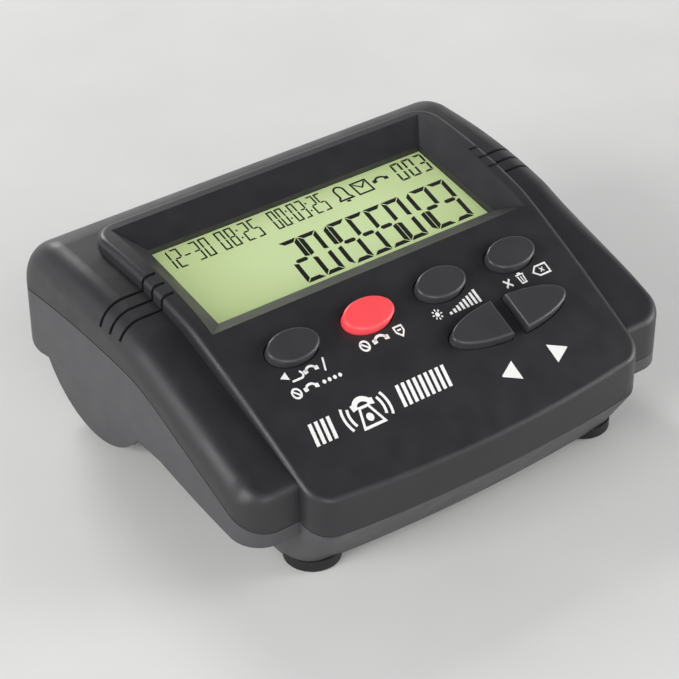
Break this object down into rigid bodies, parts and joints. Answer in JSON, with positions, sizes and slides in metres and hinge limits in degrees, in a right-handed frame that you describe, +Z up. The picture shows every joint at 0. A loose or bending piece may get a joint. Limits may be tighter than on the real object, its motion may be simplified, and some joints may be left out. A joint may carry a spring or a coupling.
{
  "type": "telephone call blocker",
  "caption": "Desk-top telephone call blocker: a sloped console with a segment display window, oval push keys, two arrow keys, rear telephone sockets and rubber feet.",
  "frame": {"origin": "middle of the overall box, on the desk under the rubber feet", "axes": "+X to the user's right along the wider side, +Y to the back where the sockets are, +Z up"},
  "size_m": [0.114, 0.0974, 0.0482],
  "materials": {
    "black_foam": "matt",
    "black_key": "satin",
    "black_plastic": "matt",
    "blank_plate": "satin silver",
    "board_laminate": "solder mask",
    "bottom_cover_plastic": "satin, fine grain",
    "capacitor_sleeve": "gloss",
    "carbon_pill": "matt",
    "ceramic": "gloss",
    "chip_resin": "matt",
    "clear_window": "clear, polished",
    "display_glass": "pale green",
    "elastomer": "matt",
    "foot_rubber": "matt",
    "gold_contacts": "polished",
    "grey_cable": "satin",
    "grey_silicone": "matt",
    "red_key": "satin",
    "reflector_film": "satin",
    "top_cover_plastic": "satin, fine grain",
    "transformer_tape": "satin",
    "white_plastic": "matt",
    "zinc_steel": "zinc plated"
  },
  "bodies": {
    "case": {"board_screws": "zinc_steel", "bottom_cover": "bottom_cover_plastic", "capacitors": "capacitor_sleeve", "case_screws": "zinc_steel", "contact_strips": "elastomer", "controller_chip": "chip_resin", "display_board": "board_laminate", "display_chip": "chip_resin", "display_glass": "display_glass", "display_headers": "white_plastic", "display_holder": "black_plastic", "display_window": "clear_window", "foot_front_left": "foot_rubber", "foot_front_right": "foot_rubber", "foot_rear_left": "foot_rubber", "foot_rear_right": "foot_rubber", "key_board": "board_laminate", "key_cable": "grey_cable", "key_header": "white_plastic", "key_mat": "grey_silicone", "line_board": "board_laminate", "line_cable": "grey_cable", "line_header": "white_plastic", "line_relay": "white_plastic", "line_socket": "black_plastic", "line_transformer": "transformer_tape", "phone_socket": "black_plastic", "rating_plate": "blank_plate", "rectifier": "chip_resin", "reflector_film": "reflector_film", "socket_contacts": "gold_contacts", "surge_arrester": "ceramic", "top_cover": "top_cover_plastic", "window_gasket": "black_foam"},
    "back_key": {"key_back": "black_key", "plunger_back": "grey_silicone", "pill_back": "carbon_pill"},
    "block_key": {"key_block": "red_key", "plunger_block": "grey_silicone", "pill_block": "carbon_pill"},
    "bright_key": {"key_bright": "black_key", "plunger_bright": "grey_silicone", "pill_bright": "carbon_pill"},
    "delete_key": {"key_delete": "black_key", "plunger_delete": "grey_silicone", "pill_delete": "carbon_pill"},
    "left_key": {"key_left": "black_key", "plunger_left": "grey_silicone", "pill_left": "carbon_pill"},
    "right_key": {"key_right": "black_key", "plunger_right": "grey_silicone", "pill_right": "carbon_pill"}
  },
  "joints": [
    {"name": "back_key_press", "type": "slide", "parent": "case", "child": "back_key", "axis": [0, 0.4226, -0.9063], "range_m": [0, 0.001], "stiffness_N_per_m": 600, "springref_m": -0.0005},
    {"name": "block_key_press", "type": "slide", "parent": "case", "child": "block_key", "axis": [0, 0.4226, -0.9063], "range_m": [0, 0.001], "stiffness_N_per_m": 600, "springref_m": -0.0005},
    {"name": "bright_key_press", "type": "slide", "parent": "case", "child": "bright_key", "axis": [0, 0.4226, -0.9063], "range_m": [0, 0.001], "stiffness_N_per_m": 600, "springref_m": -0.0005},
    {"name": "delete_key_press", "type": "slide", "parent": "case", "child": "delete_key", "axis": [0, 0.4226, -0.9063], "range_m": [0, 0.001], "stiffness_N_per_m": 600, "springref_m": -0.0005},
    {"name": "left_key_press", "type": "slide", "parent": "case", "child": "left_key", "axis": [0, 0.4226, -0.9063], "range_m": [0, 0.001], "stiffness_N_per_m": 600, "springref_m": -0.0005},
    {"name": "right_key_press", "type": "slide", "parent": "case", "child": "right_key", "axis": [0, 0.4226, -0.9063], "range_m": [0, 0.001], "stiffness_N_per_m": 600, "springref_m": -0.0005}
  ]
}
